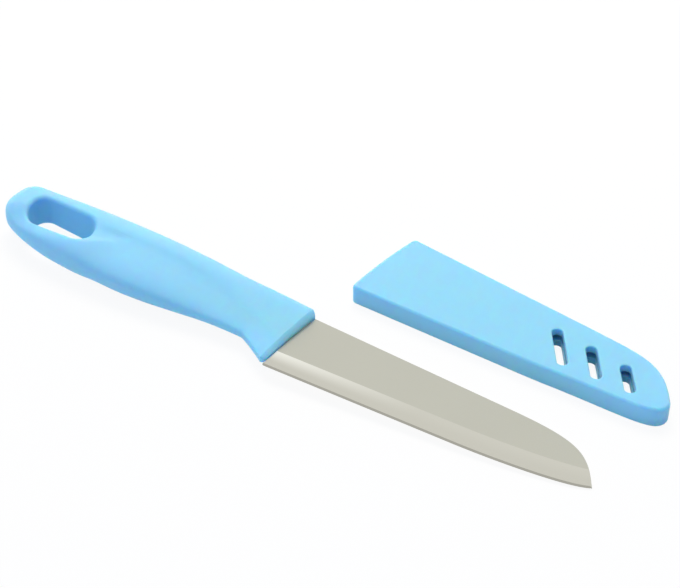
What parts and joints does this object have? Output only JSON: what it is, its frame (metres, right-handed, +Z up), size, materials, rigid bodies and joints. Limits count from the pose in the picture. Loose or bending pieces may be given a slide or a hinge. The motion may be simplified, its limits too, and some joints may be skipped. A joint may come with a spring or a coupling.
{
  "type": "camping knife",
  "caption": "Small fixed-blade camping and fruit knife with a moulded handle and hang slot, lying beside the slotted sheath that covers its blade.",
  "frame": {"origin": "middle of the common footprint of the knife and the sheath, on the table they lie on", "axes": "+X along the blade from the butt to the tip, +Y from the cutting edge to the spine and on to the sheath, +Z up from the table"},
  "size_m": [0.2186, 0.0744, 0.0136],
  "materials": {
    "steel": "satin rolled faces, brighter ground bevel",
    "plastic": "satin moulded polypropylene, sky blue"
  },
  "bodies": {
    "knife": {"blade": "steel", "handle": "plastic"},
    "sheath": {"sheath": "plastic"}
  },
  "joints": [
    {"name": "sheath_draw", "type": "slide", "parent": "knife", "child": "sheath", "axis": [0.9942, -0.108, 0], "range_m": [-0.0033, 0.0965]}
  ]
}
